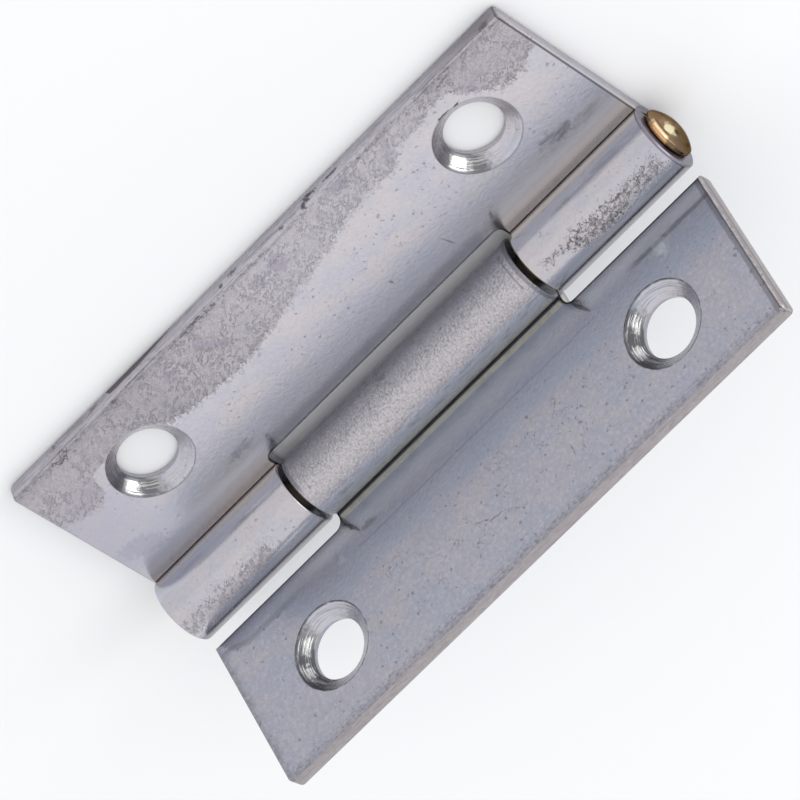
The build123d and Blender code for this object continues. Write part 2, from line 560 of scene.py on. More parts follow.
def start_finish(name, moved, lean=0.0, side=1.0):
    """A material, its net, its shader and its place, which a Mapping node scales, turns and moves."""
    finish, shader = new_material(name)
    net = Net(finish.node_tree)
    place = net.add("ShaderNodeTexCoord", {}, out="Object")
    scaled = (side * millimetres, millimetres, millimetres)
    feeds = {"Vector": place, "Location": moved, "Rotation": (0.0, lean, 0.0), "Scale": scaled}
    return finish, net, shader, net.add("ShaderNodeMapping", feeds)


def start_leaf(net, place):
    """Where a point lies on its leaf, with masks for the flat sheet and for all but its back."""
    at = net.group(leaf_place, {"Place": place})
    on_sheet = net.ramp(at["Knuckle"], 0.5, 0.2)
    front = net.ramp(at["Up"], 0.03, 0.1)
    return at, at["Out"], at["Along"], at["Knuckle"], on_sheet, front


def dress(name, finish, net, shader, colour, rough, height):
    """Ends a finish and puts it on a solid. The height is in millimetres, and the bumps in metres."""
    bump = net.add("ShaderNodeBump", {"Height": height, "Distance": 1 / millimetres, "Strength": 1.0})
    wanted = {"Base Color": colour, "Roughness": rough, "Metallic": 1.0, "Normal": bump}
    for label, value in wanted.items():
        net.feed(shader.inputs[label], value)
    nodes[name].data.materials.clear()
    nodes[name].data.materials.append(finish)
    net.tell(finish.name)


# %% [markdown]
# ## Finish of the leaf with the outer knuckles
# This leaf is the lighter one, and clear plating covers it. Metal shows what stands round it, so the
# bands that the rolled barrel mirrors are painted on as reflections of their own, along the barrel, and
# its lower side gets painted shade. A painted reflection makes the sheet bluer towards its root, and
# painted shade darkens the plain end.

# %% Outer leaf: plating and tones
outer_place = (pin_place[0], length / 2, 0.0)
outer_finish, net, shader, place = start_finish("outer leaf zinc", outer_place, side=-1.0)
at, out, along, knuckle, on_sheet, front = start_leaf(net, place)
clear = net.group(plating, {"Place": place, "Specks": 0.4, "Hairlines": 0.25})
colour, rough, height = clear["Colour"], clear["Roughness"], clear["Height"]
torn = net.swing(net.noise(place, 0.45), 2.2)

# Painted reflection: the sheet is bluer and darker towards its root.
blue_root_reflection = net.both(net.ramp(net.sum(out, torn), 8.2, 6.0), on_sheet)
from_middle = net.apart(along, length / 2)
beside_slot = net.both(net.ramp(out, 6.2, 4.2), net.ramp(from_middle, 10.8, 12.6))
warm_root = net.both(beside_slot, net.ramp(along, 4.0, 9.0), on_sheet)
# Painted shade beside the slot, and on the rounded rim of its cut.
slot_shade = net.both(net.band(out, 3.6, 0.5, 0.8), net.ramp(from_middle, 11.6, 10.4), on_sheet)
slot_rim_shade = net.both(net.band(out, 3.38, 0.12, 0.12), net.ramp(from_middle, 11.8, 11.2), on_sheet)
tail_tint = marks(net, place, torn, ((5.5, 2.2, 1.1, 2.2, -25, 1.0),))
# Painted shade towards the plain end.
tail_shade = net.both(net.ramp(net.sum(along, torn), 11.0, 0.0), on_sheet)
tail_shade = net.both(tail_shade, net.blend(net.ramp(out, 3.0, 5.0), 0.2, 0.6))
arc = net.minus(at["Around"], facing_line)
streaky = net.noise(place, (0.35, 1.6, 0.35), rough=0.68)
near_arc = net.sum(arc, net.swing(streaky, 1.2))
# Painted reflections in bands along the barrel, and a painted highlight on its far side.
blue_reflection_band = net.band(near_arc, 2.0, 0.2, 0.4)
far_arc = net.sum(arc, net.swing(streaky, 1.0))
far_reflection_band = net.band(far_arc, -2.2, 0.35, 0.3)
head_reflection_band = net.both(net.band(far_arc, -1.6, 0.22, 0.2), net.ramp(along, 40.0, 45.0))
far_painted_highlight = net.both(net.band(arc, -3.1, 0.2, 0.3), net.blend(net.ramp(along, 15.0, 35.0), 0.2, 0.5))
colour = net.coats(
    colour,
    ([0.44, 0.475, 0.54], blue_root_reflection, 0.5),
    ([0.53, 0.5, 0.5], warm_root, 0.75),
    ([0.19, 0.2, 0.24], slot_shade, 0.38),
    ([0.15, 0.15, 0.18], slot_rim_shade, 0.5),
    ([0.36, 0.355, 0.43], tail_tint, on_sheet, 0.75),
    ([0.38, 0.365, 0.43], tail_shade),
    ([0.3, 0.28, 0.3], knuckle, 0.16),
    # Painted shade on the lower side of the barrel, then the painted reflections and highlight.
    ([0.15, 0.155, 0.185], knuckle, net.ramp(arc, 2.2, 2.7), 0.1),
    ([0.16, 0.16, 0.18], knuckle, net.ramp(arc, 2.65, 3.0), 0.6),
    ([0.6, 0.62, 0.67], knuckle, blue_reflection_band, 0.7),
    ([0.62, 0.66, 0.74], knuckle, far_reflection_band, 0.55),
    ([0.34, 0.35, 0.41], knuckle, head_reflection_band, 0.55),
    ([0.93, 0.88, 0.84], knuckle, far_painted_highlight),
)
net.tell("outer leaf, tones")

# %% [markdown]
# ## The flaky patch
# A torn, flaky patch runs along the outer long edge of this leaf. Its inner border was read off at a
# few places along the leaf, so a Float Curve holds it: the first number of a pair is the place along
# the pin, and the second one is how far out the patch begins there.

# %% Outer leaf: patch
border_at = (
    (0, 11.6), (1.5, 11.1), (3, 10.7), (4.2, 11.3), (5, 13.0), (6.5, 12.9), (9.5, 12.5), (11, 11.9),
    (12.5, 11.1), (15, 10.7), (19, 10.6), (22, 11.1), (25, 11.7), (28, 12.2), (31, 12.9), (34, 13.4),
    (36.5, 13.3), (38, 14.3), (41, 14.4), (42.6, 14.8), (43.7, 14.0), (44.7, 12.8), (45.5, 12.1),
    (47, 11.4), (48.5, 11.9), (50, 12.6),
)
curve_reach = 20.0
curve_node = net.add("ShaderNodeFloatCurve", {"Value": net.scale(along, 1 / length)}).node
curve = curve_node.mapping.curves[0]
while len(curve.points) < len(border_at):
    curve.points.new(0.5, 0.5)
for point, (where, reach) in zip(curve.points, border_at):
    point.location = (where / length, reach / curve_reach)
curve_node.mapping.update()
patch_inside = net.minus(out, net.scale(curve_node.outputs[0], curve_reach))
patch = net.group(flaked, {"Place": place, "Inside": patch_inside})
beside_sink = net.ramp(at["Hole"], sink_radius - 0.02, sink_radius + 0.08)
patch_mask = net.both(patch["Mask"], front, beside_sink)
colour = net.paint(patch_mask, colour, patch["Colour"])
# Painted light over the middle of the leaf's length, and painted shade on the patch by the plain end.
mid_length = net.both(net.ramp(along, 16.0, 26.0), net.ramp(along, 43.0, 38.0))
tail_patch_shade = net.both(patch_mask, net.ramp(along, 17.0, 12.0), 0.3)
rough = net.blend(patch_mask, rough, 0.34)
height = net.sum(height, net.both(patch["Height"], patch_mask))
colour = net.coats(
    colour,
    ([0.64, 0.605, 0.64], patch_mask, mid_length, 0.45),
    ([0.3, 0.28, 0.31], tail_patch_shade),
)
net.tell("outer leaf, patch")

# %% [markdown]
# ## Islands, smudges and the worn edge
# Darker islands lie in the patch, and dark smudges beside the slot. Each is one mark, and the two at
# the slot's corners are painted reflections of the gaps between the knuckles. The outer edge is
# rubbed: it has long streaks and short dark dashes, and a painted sheen where it turns over.

# %% Outer leaf: islands, smudges and edge
island_torn = net.scale(torn, 1.1)
islands = marks(net, place, island_torn, (
    (14.0, 17.9, 0.6, 1.7, -53, 1.0), (14.6, 25.9, 1.0, 0.95, 20, 1.0), (14.5, 24.1, 0.45, 0.8, 60, 0.8),
    (15.7, 33.2, 0.75, 1.3, -15, 1.0), (15.0, 34.5, 0.7, 0.8, -40, 0.5), (15.5, 37.7, 0.75, 0.4, -30, 0.7),
    (14.1, 14.3, 0.75, 0.65, 40, 0.8), (14.5, 10.3, 0.6, 1.1, 0, 0.5), (11.9, 2.7, 1.0, 1.9, 0, 0.6),
    (14.3, 22.6, 1.5, 0.25, 8, 0.5), (14.4, 28.9, 1.4, 0.22, 15, 0.5), (14.5, 29.4, 1.4, 0.2, -12, 0.45),
    (14.3, 30.5, 1.5, 0.22, 5, 0.45), (14.3, 36.9, 1.2, 0.3, -20, 0.5), (14.0, 45.1, 0.6, 1.0, 20, 0.5),
))
# Smudges; the two at the slot's corners are painted reflections of the gaps between the knuckles.
smudges_and_gap_reflections = marks(net, place, torn, (
    (5.5, 12.6, 0.5, 1.7, 3, 0.5), (5.6, 45.2, 0.7, 1.9, -6, 0.75), (5.1, 47.4, 0.6, 1.9, 0, 0.3),
    (4.2, 14.3, 0.22, 1.1, 72, 0.8), (4.3, 37.4, 0.2, 1.1, 65, 0.8),
))
smudges_and_gap_reflections = net.both(smudges_and_gap_reflections, front, net.ramp(streaky, 0.72, 0.32))
edge_lines = net.noise(place, (0.1, 5.0, 0.25))
edge_shade = net.both(net.ramp(out, 14.8, 16.2), front, net.blend(mid_length, 0.22, 0.06))
near_edge = net.both(net.band(out, 16.15, 0.1, 0.25), net.ramp(edge_lines, 0.54, 0.42), front)
broken = net.noise(place, (0.18, 0.5, 0.18), detail=4.0, rough=0.75)
dashes = net.both(net.band(out, 16.1, 0.06, 0.16), net.ramp(broken, 0.47, 0.38), front)
# A painted sheen where the edge turns over.
edge_painted_sheen = net.both(net.ramp(out, 16.1, 16.25), net.ramp(edge_lines, 0.46, 0.58))
colour = net.coats(
    colour,
    ([0.395, 0.368, 0.425], islands, patch_mask, 0.75),
    ([0.13, 0.13, 0.155], smudges_and_gap_reflections),
    ([0.2, 0.185, 0.2], edge_shade),
    ([0.2, 0.185, 0.2], near_edge, 0.5),
    ([0.13, 0.12, 0.135], dashes, 0.75),
    ([0.5, 0.48, 0.54], edge_painted_sheen, 0.6),
)
net.tell("outer leaf, edge wear")

# %% [markdown]
# ## Crusts on the outer knuckles
# The head knuckle has a flaky crust along its lower side, and the tail knuckle a thin one. Both use
# the flaked zinc again. A crust's inside is its half width less the distance from its middle line, and
# the borders of bent cells draw the loops of its flakes.

# %% Outer leaf: crusts
near_head = net.ramp(along, 44.0, 48.0)
crust_middle = net.sum(net.blend(net.ramp(along, 38.5, 43.0), 0.45, 1.15), net.scale(near_head, -0.12))
away = net.apart(arc, crust_middle)
half_width = net.sum(net.blend(net.ramp(along, 38.6, 42.0), 0.1, 0.85), net.scale(near_head, -0.12))
head_inside = net.minus(half_width, away)
head_inside = net.least(head_inside, net.scale(net.minus(along, 38.2), 0.4))
head_inside = net.least(head_inside, net.minus(49.2, along))
crust = {"Light": [0.58, 0.54, 0.555, 1.0], "Dark": [0.43, 0.4, 0.415, 1.0], "Lines": 0.5, "Flake": 0.36}
head_crust = net.group(flaked, {"Place": place, "Inside": head_inside, "Tear": 0.26, "Relief": 1.5, **crust})
head_mask = net.both(head_crust["Mask"], knuckle, net.ramp(along, 30.0, 31.0))
head_share = net.both(head_mask, net.blend(near_head, 1.0, 0.5))
colour = net.paint(head_share, colour, head_crust["Colour"])
bent = net.noise(place, 0.4, detail=3.0, rough=0.5).node.outputs["Color"]
bent = net.vector("MULTIPLY_ADD", bent, (0.45, 0.45, 0.45), place)
cells = {"Vector": bent, "Scale": 2.0}
cell_edge = net.add("ShaderNodeTexVoronoi", cells, feature="DISTANCE_TO_EDGE")
rims = net.ramp(cell_edge, 0.1, 0.03)
loops = net.both(rims, net.ramp(streaky, 0.56, 0.5), net.blend(near_head, 0.75, 0.5))
rough = net.blend(head_mask, rough, 0.32)
colour = net.tint(colour, [0.11, 0.1, 0.105], head_mask, loops)

tail_inside = net.minus(0.7, net.apart(arc, 1.3))
tail_inside = net.least(tail_inside, net.scale(net.minus(9.0, along), 0.5))
crust.update(Light=[0.5, 0.47, 0.5, 1.0], Dark=[0.42, 0.39, 0.42, 1.0], Lines=0.3)
tail_crust = net.group(flaked, {"Place": place, "Inside": tail_inside, "Tear": 0.42, "Relief": 0.6, **crust})
tail_mask = net.both(tail_crust["Mask"], knuckle, net.ramp(along, 20.0, 19.0))
colour = net.paint(net.scale(tail_mask, 0.8), colour, tail_crust["Colour"])
rough = net.blend(tail_mask, rough, 0.3)
head_height = net.both(head_crust["Height"], head_mask)
height = net.sum(height, head_height, net.both(tail_crust["Height"], tail_mask))
net.tell("outer leaf, crusts")

# %% [markdown]
# ## Countersinks, cut edges and nicks
# The countersinks are laid over all that came before, as the tool cut them into the sheet. Nicks run
# over the outer edge, so their place is counted on: out, plus the way down the cut face.

# %% Outer leaf: countersinks, cut edges and nicks
colour, rough, height = countersinks(
    net, place, at, colour, rough, height, rim=0.2, gloom=0.76, pale=0.0, End=-0.75, Full=0.07
)
edges = net.group(sheared, {"Place": place, "Border": at["Border"], "Up": at["Up"]})
# Painted shade along the rounded end near the head.
end_edge_shade = net.both(net.band(at["Ends"], 0.17, 0.04, 0.06), net.ramp(along, 25.0, 26.0), on_sheet)
colour = net.tint(colour, [0.08, 0.07, 0.07], end_edge_shade, 0.8)
colour = net.paint(edges["Face"], colour, edges["Colour"])
side = net.ramp(out, 16.3, 16.36)
streak_top = net.both(net.ramp(along, 19.8, 12.5), net.ramp(along, 10.1, 10.7), 0.66)
below_top = net.ramp(net.minus(streak_top, at["Up"]), 0.0, 0.07)
black_streak = net.both(below_top, side, net.ramp(along, 19.8, 19.0))
over_edge = net.sum(out, net.minus(sheet, at["Up"]))
edge_place = net.join(over_edge, along, sheet)
crumbled = marks(net, place, torn, ((15.9, 4.9, 0.6, 1.4, 0, 1.0), (16.0, 19.3, 0.35, 2.0, 0, 0.8)))
ragged = net.swing(net.noise(place, 0.2, rough=0.8), 3.6)
nicks = marks(net, edge_place, ragged, (
    (5.6, 34.2, 0.7, 0.07, 12, 0.5), (6.6, 29.3, 0.25, 0.12, 15, 0.6),
    (16.6, 30.5, 0.42, 0.3, -20, 1.0), (16.85, 30.9, 0.2, 0.4, -35, 1.0),
    (17.1, 31.2, 0.2, 0.8, -10, 1.0), (17.0, 33.4, 0.16, 0.95, 0, 0.9),
    (16.8, 22.1, 0.25, 0.2, 0, 0.9), (17.0, 23.3, 0.18, 0.5, 0, 0.8),
    (16.6, 28.2, 0.18, 0.26, 0, 0.8), (16.4, 13.4, 0.1, 2.6, 0, 0.6),
    (15.7, 43.9, 0.14, 0.9, 8, 0.5), (16.6, 48.7, 0.3, 0.6, 0, 0.7),
    (16.2, 10.6, 0.3, 0.3, 0, 0.6), (17.3, 9.0, 0.12, 0.5, 0, 0.7),
))
listed = ((13.54, 41.7, 0.12, 0.65, 0, 1.0), (13.4, 42.8, 0.13, 0.65, 17, 1.0))
rim_nicks = marks(net, place, ragged, listed)
at_rim = net.ramp(at["Hole"], sink_radius - 0.2, sink_radius - 0.05)
nicks = net.most(nicks, net.both(rim_nicks, at_rim))
rough = net.blend(edges["Face"], rough, 0.36)
height = net.sum(height, edges["Height"])
colour = net.coats(
    colour,
    ([0.24, 0.225, 0.25], side, net.ramp(edge_lines, 0.5, 0.4), 0.5),
    ([0.2, 0.185, 0.2], side, net.ramp(along, 40.0, 49.0), 0.65),
    ([0.09, 0.075, 0.085], black_streak, 0.85),
    ([0.1, 0.09, 0.1], crumbled, rims, front, 0.8),
    ([0.09, 0.08, 0.09], nicks, front, 0.92),
)
net.tell("outer leaf, cut edges")

# %% Outer leaf: seam and ends of the barrel
lip = net.group(seam, {"Out": out, "Up": at["Up"], "Radius": at["Radius"], "Width": -0.02})
# A painted glint at the gap by the head.
gap_glint = net.both(net.band(along, length - outer_knuckle + 0.08, 0.03, 0.05), knuckle)
colour = net.coats(
    colour,
    # A haze, a painted glint, and painted shade in the seam's crevice.
    ([0.45, 0.42, 0.35], lip["Haze"], 0.35),
    ([0.72, 0.6, 0.46], lip["Glint"], 0.6),
    ([0.09, 0.06, 0.05], lip["Dark"], 0.55),
    # A painted glint at that gap, and painted shade on the rounded end of the head knuckle.
    ([0.5, 0.33, 0.15], gap_glint, 0.7),
    ([0.16, 0.14, 0.19], knuckle, net.band(along, length - 0.1, 0.1, 0.08), 0.7),
)
dress("leaf_outer_knuckles", outer_finish, net, shader, colour, rough, height)

# %% [markdown]
# ## Finish of the leaf with the middle knuckle
# The second leaf is a darker, bluer grey with cloudy mottling and fine cracks in its plating. It
# stands at an angle, so its Mapping node also turns the coordinates back by that angle. A painted
# reflection of the first leaf makes its root bluer and darker, and paler in a strip beside the barrel,
# and painted shade makes a dark rim at the ends of its root.

# %% Middle leaf: plating and tones
lean = math.radians(180.0 - opening)
pin_across, pin_above = pin_place
middle_finish, net, shader, place = start_finish("middle leaf zinc", (
    -(pin_across * math.cos(lean) + pin_above * math.sin(lean)),
    length / 2,
    pin_across * math.sin(lean) - pin_above * math.cos(lean) + barrel_radius,
), lean)
at, out, along, knuckle, on_sheet, front = start_leaf(net, place)
cracked = net.both(net.band(out, 11.3, 2.0, 1.6), net.band(along, 23.0, 10.0, 3.0))
blues = {"Warm": [0.405, 0.39, 0.43, 1.0], "Cool": [0.365, 0.375, 0.435, 1.0]}
wear = {"Grain": 0.18, "Hairlines": net.sum(net.scale(cracked, 0.35), 0.3), "Roughness": 0.19}
clear = net.group(plating, {"Place": place, **wear, **blues})
colour, rough = clear["Colour"], clear["Roughness"]
torn = net.swing(net.noise(place, 0.5), 2.2)
# Painted reflection of the first leaf: the root is bluer and darker, and paler beside the barrel.
root_end = net.blend(net.ramp(along, 5.2, 8.5), 5.2, 8.4)
root_out = net.sum(out, net.scale(torn, 0.3))
root_reflection = net.both(net.ramp(root_out, root_end, net.minus(root_end, 0.8)), on_sheet)
pale_out = net.sum(out, net.scale(torn, 0.5))
pale_root_reflection = net.both(net.ramp(pale_out, 5.5, 4.3), on_sheet, net.ramp(along, 5.0, 12.0))
from_middle = net.apart(along, length / 2)
# Painted shade on the rounded rim of the slot's cut.
cut_rim_shade = net.both(net.band(out, 3.36, 0.1, 0.14), net.ramp(from_middle, 11.6, 12.4), on_sheet)
cut_share = net.blend(net.ramp(along, 24.0, 26.0), 0.4, 0.8)
colour = net.coats(
    colour,
    ([0.33, 0.375, 0.455], root_reflection, 0.5),
    ([0.455, 0.47, 0.505], pale_root_reflection, 0.9),
    ([0.09, 0.095, 0.13], cut_rim_shade, cut_share),
)
net.tell("middle leaf, tones")

# %% [markdown]
# ## The middle knuckle
# This knuckle was worked harder in rolling, so it is rough like orange peel. Painted shade darkens it
# towards the first leaf, and painted reflections lie in bands round it. Bumps of a tenth of a
# millimetre get painted shade on one side and a painted highlight on the other: a noise less the same
# noise a little way on is positive on one side of each bump and negative on the other.

# %% Middle leaf: knuckle
arc = net.minus(facing_line, at["Around"])
bumps = (0.17, 0.2, 0.17)
lit = net.noise(place, bumps, detail=4.0)
moved = net.vector("ADD", place, (0.025, 0.03, 0.02))
shaded = net.minus(lit, net.noise(moved, bumps, detail=4.0))
pits = net.ramp(net.noise(place, (0.22, 0.28, 0.22), detail=3.0, rough=0.75), 0.42, 0.34)
worked = net.paint(net.ramp(lit, 0.36, 0.64), [0.46, 0.435, 0.455, 1.0], [0.535, 0.505, 0.52, 1.0])
torn_arc = net.sum(arc, net.scale(torn, 0.7))
shade_side = net.ramp(torn_arc, 0.3, -1.3)
streaky = net.noise(place, (0.3, 1.5, 0.3), rough=0.68)
blue_arc = net.sum(arc, net.swing(streaky, 1.2))
blue_streaks = net.both(net.ramp(streaky, 0.5, 0.38), net.ramp(arc, 1.3, 1.8), 0.4)
above_seam = net.ramp(arc, 2.2, 1.2)
# Painted shade on one side of each bump.
bump_shade = net.both(net.ramp(shaded, 0.012, 0.08), net.blend(shade_side, 0.3, 0.7), above_seam)
pits = net.both(pits, net.blend(shade_side, 0.55, 0.75), above_seam)
# Painted shade on the rounded ends of the knuckle.
end_shade_rings = net.both(net.band(along, 35.8, 0.03, 0.06), net.band(arc, -0.9, 1.5, 0.2))
end_shade_rings = net.most(end_shade_rings, net.band(along, 36.4, 0.12, 0.15))
tail_shade_ring = net.both(net.band(along, 13.7, 0.06, 0.15), net.ramp(arc, 0.3, -0.6))
end_shade_rings = net.most(end_shade_rings, tail_shade_ring)
listed = ((-0.25, 23.6, 0.3, 0.6, 15, 0.9), (0.05, 23.1, 0.2, 0.4, -20, 0.7))
scored = marks(net, place, torn, listed)
worked = net.coats(
    worked,
    # Painted shade towards the first leaf, painted reflections in bands, painted shade on the lower side,
    # then painted shade and highlights on the bumps.
    ([0.3, 0.295, 0.33], shade_side, 0.6),
    ([0.66, 0.64, 0.7], net.ramp(arc, -2.3, -3.1), 0.8),
    ([0.485, 0.51, 0.58], net.ramp(blue_arc, 1.3, 1.75), 0.8),
    ([0.17, 0.18, 0.21], blue_streaks),
    ([0.2, 0.21, 0.24], net.ramp(arc, 2.5, 3.1), 0.25),
    ([0.17, 0.165, 0.19], bump_shade),
    ([0.8, 0.76, 0.78], net.ramp(shaded, -0.012, -0.08), 0.3),
    ([0.15, 0.145, 0.17], pits),
    ([0.1, 0.1, 0.12], end_shade_rings, 0.55),
    ([0.16, 0.15, 0.17], scored, 0.6),
)
colour = net.paint(knuckle, colour, worked)
rough = net.blend(knuckle, rough, 0.27)
height = net.blend(knuckle, clear["Height"], net.scale(lit, 0.06))
net.tell("middle leaf, knuckle")

# %% [markdown]
# ## Lines, spots and cracks
# A thin line runs along the root of this leaf where the sheet was bent, and it rises at the plain end.
# The cracks in the plating are narrow marks in coordinates that noise has bent, so they waver.

# %% Middle leaf: lines, spots and cracks
wave = net.scale(torn, 0.18)
waved = net.sum(out, wave)
long_line = net.both(net.band(waved, 5.8, 0.02, 0.08), net.band(along, 25.5, 11.5, 1.0))
head_line = net.both(net.band(waved, 4.98, 0.1, 0.16), net.ramp(along, 41.5, 43.0))
tail_rise = net.blend(net.ramp(along, 0.8, 3.0), 4.3, 4.95)
on_rise = net.band(net.minus(waved, tail_rise), 0.0, 0.08, 0.3)
tail_line = net.both(on_rise, net.ramp(along, 10.0, 5.5))
lines = net.sum(net.scale(long_line, 0.28), net.scale(head_line, 0.6), net.scale(tail_line, 0.4))
lines = net.both(lines, on_sheet, front)
# Smudges; the two at the slot's corners are painted reflections of the gaps between the knuckles.
smudges_and_gap_reflections = marks(net, place, torn, (
    (4.1, 14.05, 0.2, 1.15, 61, 0.9), (4.3, 37.4, 0.2, 1.15, 61, 0.9), (4.9, 15.3, 0.35, 0.9, 0, 0.5),
))
cloudy = net.scale(torn, 1.6)
spots = marks(net, place, cloudy, (
    (5.5, 12.2, 0.4, 0.45, 0, 0.5), (5.6, 44.8, 1.0, 1.1, 0, 0.4),
    (5.6, 44.7, 0.55, 0.65, 0, 1.0), (4.2, 43.0, 0.5, 2.0, 0, 0.2),
))
bent = net.noise(place, 0.5, detail=3.0, rough=0.5).node.outputs["Color"]
bent = net.vector("MULTIPLY_ADD", bent, (0.55, 0.55, 0.0), place)
bent = net.vector("SUBTRACT", bent, (0.275, 0.275, 0.0))
chafed = net.noise(place, (0.22, 0.4, 0.22), rough=0.78)
cracks = marks(net, bent, torn, (
    (11.72, 22.85, 0.07, 0.8, 27, 0.8), (12.22, 24.15, 0.07, 0.75, 15, 0.9),
    (12.8, 25.35, 0.07, 0.75, 36, 0.8), (13.25, 26.5, 0.06, 0.7, 4, 0.5),
    (12.42, 22.57, 0.06, 0.35, -57, 0.8), (12.12, 23.1, 0.07, 0.45, -4, 0.8),
    (13.1, 22.0, 0.06, 0.5, 49, 0.6), (9.1, 31.7, 0.06, 0.6, -47, 0.7),
    (12.8, 31.35, 0.08, 0.8, 98, 0.7), (8.65, 32.1, 0.14, 0.2, -47, 0.9),
    (7.9, 29.7, 0.14, 0.16, 0, 0.9), (14.1, 25.2, 0.12, 0.18, 0, 0.8),
    (13.6, 15.1, 0.16, 0.2, 0, 0.9), (9.1, 21.6, 0.13, 0.22, 0, 0.7),
    (12.8, 21.75, 0.1, 0.2, 0, 0.8),
))
cracks = net.both(cracks, front, net.ramp(chafed, 0.6, 0.46), 0.85)
ruddy = marks(net, place, torn, (
    (13.4, 30.2, 1.0, 1.5, 0, 0.6), (11.5, 13.0, 1.6, 2.4, 0, 0.4), (9.5, 21.0, 1.2, 5.0, 0, 0.3),
))
rubbed = net.ramp(net.sum(chafed, net.scale(torn, 0.12)), 0.53, 0.4)
worn_edge = net.both(net.band(out, 16.1, 0.2, 0.45), rubbed)
worn_tail = net.both(net.ramp(along, 1.1, 0.2), net.ramp(torn, 0.3, -0.3), on_sheet)
worn = net.most(worn_edge, worn_tail)
# Painted shade along the leaf's rounded edges.
rounded_edge_shade = net.both(net.ramp(at["Border"], 0.28, 0.1), on_sheet, front)
colour = net.coats(
    colour,
    ([0.12, 0.13, 0.16], lines),
    ([0.1, 0.1, 0.12], smudges_and_gap_reflections, front, 0.8),
    ([0.6, 0.69, 0.72], spots, front, 0.55),
    ([0.12, 0.115, 0.13], cracks),
    ([0.44, 0.39, 0.39], ruddy, front, 0.4),
    ([0.17, 0.16, 0.185], worn, front, 0.6),
    ([0.2, 0.185, 0.195], rounded_edge_shade, 0.4),
)
net.tell("middle leaf, marks")

# %% [markdown]
# ## Countersinks, cut edges and seam of the second leaf
# These countersinks carry two painted gleams, and darker rims. Near the head, the end of the leaf
# carries a painted highlight on its beaded crest, painted shade along its rolled-over edge and a thin
# dark line on its cut face, and the seam beside the lip shows as painted shade in its crevice and a
# yellowish line.

# %% Middle leaf: countersinks, cut edges and seam
colour, rough, height = countersinks(
    net, place, at, colour, rough, height, rim=0.85, gloom=0.86, pale=0.6,
    Gleam=-1.5, Second=-2.35, End=-0.35,
)
edges = net.group(sheared, {
    "Place": place, "Border": at["Border"], "Up": at["Up"],
    "Torn": [0.42, 0.385, 0.39, 1.0], "Burnished": [0.4, 0.365, 0.37, 1.0],
})
end_band = net.both(net.ramp(along, 25.0, 26.0), on_sheet)
# Painted shade along the rolled-over edge near the head.
roll_over_shade = net.both(net.band(net.sum(at["Ends"], net.scale(wave, 0.4)), 0.42, 0.14, 0.12), end_band)
thin_edge_shade = net.both(net.band(net.sum(at["Ends"], net.scale(wave, 0.3)), 0.24, 0.03, 0.05), end_band)
end_only = net.ramp(at["Ends"], 0.45, 0.3)
beaded = net.ramp(chafed, 0.42, 0.54)
colour = net.coats(
    colour,
    # Painted shade along the edge, a painted highlight on the beaded crest, painted shade along the fold.
    ([0.14, 0.135, 0.16], roll_over_shade, 0.55),
    ([0.09, 0.08, 0.085], thin_edge_shade, 0.75),
    ([0.6, 0.53, 0.49], edges["Crest"], end_band, end_only, beaded, 0.8),
    ([0.16, 0.15, 0.165], edges["Fold shade"], 0.2),
)
colour = net.paint(edges["Face"], colour, edges["Colour"])
face = edges["Face"]
scored = net.noise(place, (4.0, 4.0, 0.09))
face_line = net.both(face, end_band, end_only, net.band(at["Up"], 0.85, 0.05, 0.09))
rough = net.blend(edges["Face"], rough, 0.36)
height = net.sum(height, edges["Height"])
colour = net.coats(
    colour,
    ([0.2, 0.175, 0.185], face, net.ramp(scored, 0.52, 0.4), 0.45),
    ([0.56, 0.52, 0.55], face, net.ramp(chafed, 0.5, 0.64), 0.4),
    ([0.12, 0.09, 0.085], face_line, 0.8),
)

lip = net.group(seam, {"Out": out, "Up": at["Up"], "Radius": at["Radius"], "Width": 0.1})
colour = net.coats(
    colour,
    # A yellowish line, and painted shade in the seam's crevice.
    ([0.72, 0.69, 0.54], lip["Line"], 0.85),
    ([0.055, 0.05, 0.045], lip["Dark"], 0.86),
)
dress("leaf_middle_knuckle", middle_finish, net, shader, colour, rough, height)

# %% [markdown]
# ## Finish of the pin
# The head is polished brass that has gone brown in patches, and painted shade darkens one side of it.
# A painted reflection puts a bright spot on its dome with a small dark dot beside it, and painted
# highlights make an orange and a pale crescent along the rim on the lit side, with painted shade in a
# brown ring and a band beside them. The shaft shows only in the gaps between the knuckles, where
# painted shade makes it dark. A low Specular Tint keeps the brass from turning white where it is seen
# at a slant.

# %% Finish: pin
pin_finish, net, shader, place = start_finish("pin brass", (-pin_place[0], length / 2, -pin_place[1]))
across, along, up = net.split(place)
clouds = net.noise(place, 0.8, detail=4.0, rough=0.62)
uneven = net.minus(clouds, 0.5)
radius = net.hypot(across, up)
spin = net.math("ARCTAN2", up, across)
brass = net.paint(net.ramp(clouds, 0.36, 0.64), [0.18, 0.122, 0.074, 1.0], [0.36, 0.255, 0.155, 1.0])
# Painted shade on one side of the head.
slant = net.sum(net.scale(across, 0.5), net.scale(up, 0.35), net.scale(uneven, 3.0))
colour = net.tint(brass, [0.135, 0.092, 0.058], net.ramp(slant, -0.5, 0.9), 0.75)
# A painted reflection: a bright spot on the dome, and a small dark dot beside it.
from_spot = net.vector("DISTANCE", place, (-0.97, length + 0.95, 0.8), out="Value")
painted_spot = net.ramp(net.sum(from_spot, net.scale(uneven, 1.8)), 0.78, 0.4)
from_dot = net.vector("DISTANCE", place, (-0.26, length + 1.04, 0.97), out="Value")
turned_away = net.ramp(net.math("COSINE", net.minus(spin, 2.5)), 0.6, -0.2)
# Painted shade in a brown ring between the spot and the crescents.
brown_ring_shade = net.both(net.band(radius, 1.6, 0.04, 0.18), turned_away)
lit_side = net.band(net.sum(spin, uneven), 2.55, 0.38, 0.2)
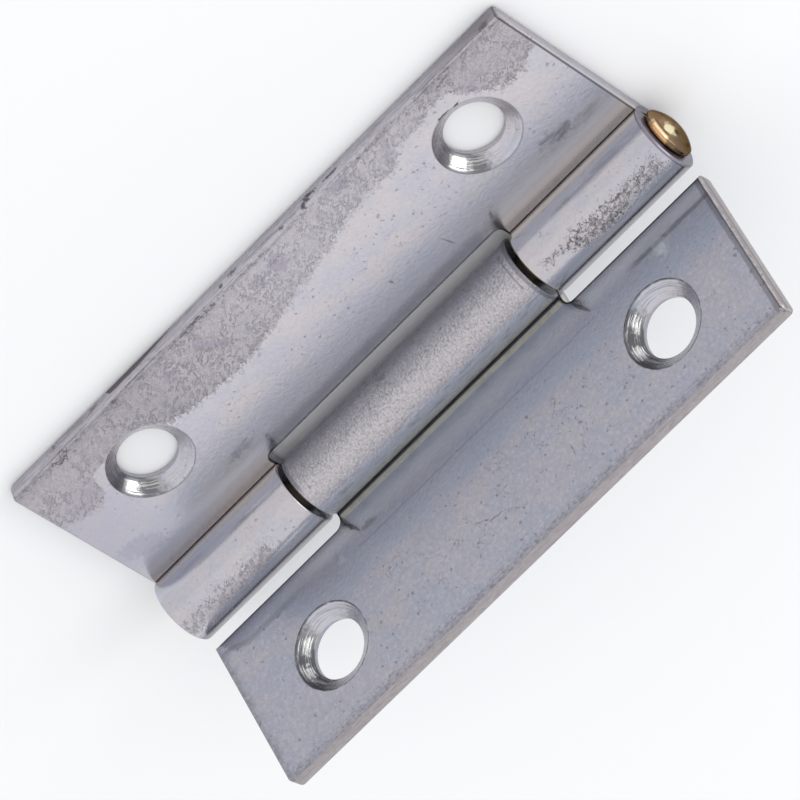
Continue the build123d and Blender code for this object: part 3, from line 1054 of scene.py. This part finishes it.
# The shaft below the head is rougher, and gets painted shade in the coats.
shaft = net.ramp(along, length + 0.07, length + 0.03)
rough = net.sum(net.scale(clouds, 0.12), 0.1, net.scale(shaft, 0.35))
colour = net.coats(
    colour,
    ([0.95, 0.86, 0.56], painted_spot, 0.95),
    ([0.05, 0.042, 0.025], net.ramp(from_dot, 0.34, 0.1), 0.75),
    ([0.08, 0.04, 0.015], brown_ring_shade, 0.75),
    # Painted shade in a band, then painted highlights: an orange and a pale crescent on the lit side.
    ([0.2, 0.12, 0.055], net.band(radius, 1.72, 0.04, 0.1), lit_side, 0.85),
    ([0.72, 0.36, 0.13], net.ramp(radius, 1.78, 1.86), lit_side, 0.9),
    ([1.0, 0.86, 0.62], net.band(radius, 1.94, 0.05, 0.07), lit_side, 0.9),
    # Painted shade on the shaft in the gaps.
    ([0.13, 0.11, 0.09], shaft),
)
shader.inputs["Specular Tint"].default_value = (0.5, 0.43, 0.37, 1.0)
dress("hinge_pin", pin_finish, net, shader, colour, rough, net.scale(clouds, 0.03))

# %% [markdown]
# ## Floor and light
# The hinge lies on a plain white floor. Bare metal shows whatever is round it, so the light is a
# wide, even tent: a pale world, a broad lamp above, a softer one at the side where the second leaf
# stands, and a strong one past the pin's head, which lights the ends of both leaves.

# %% Floor
floor_mesh = bpy.data.meshes.new("floor")
level = -0.0001
floor_mesh.from_pydata([(-1, -1, level), (1, -1, level), (1, 1, level), (-1, 1, level)], [], [(0, 1, 2, 3)])
floor = bpy.data.objects.new("floor", floor_mesh)
bpy.context.scene.collection.objects.link(floor)
floor_paint, paint = new_material("floor paint")
paint.inputs["Base Color"].default_value = (0.93, 0.93, 0.93, 1.0)
paint.inputs["Roughness"].default_value = 0.9
paint.inputs["Specular IOR Level"].default_value = 0.0
floor_mesh.materials.append(floor_paint)

# %% Light
world = bpy.data.worlds.new("tent")
bpy.context.scene.world = world
world.use_nodes = True
background = world.node_tree.nodes["Background"].inputs
background["Color"].default_value = (0.97, 0.98, 1.0, 1.0)
background["Strength"].default_value = 0.98


def soft_lamp(name, towards, away, size, radiance):
    """A square lamp of this width, this far from the hinge in a direction, as bright as radiance."""
    lamp = bpy.data.lights.new(name, "AREA")
    lamp.shape = "SQUARE"
    lamp.size = size
    lamp.energy = radiance * math.pi * size * size
    thing = bpy.data.objects.new(name, lamp)
    towards = Vector(towards).normalized()
    thing.location = towards * away
    thing.rotation_mode = "QUATERNION"
    thing.rotation_quaternion = towards.to_track_quat("Z", "Y")
    bpy.context.scene.collection.objects.link(thing)
    print(name, "at", tuple(round(x, 3) for x in thing.location))


soft_lamp("lamp above", (-0.3, -0.3, 1.0), 0.6, 0.7, 0.08)
soft_lamp("lamp at the side", (0.576, -0.317, 0.7), 0.7, 0.45, 0.12)
soft_lamp("lamp at the head end", (0.1, 1.0, 0.36), 0.6, 0.42, 1.6)
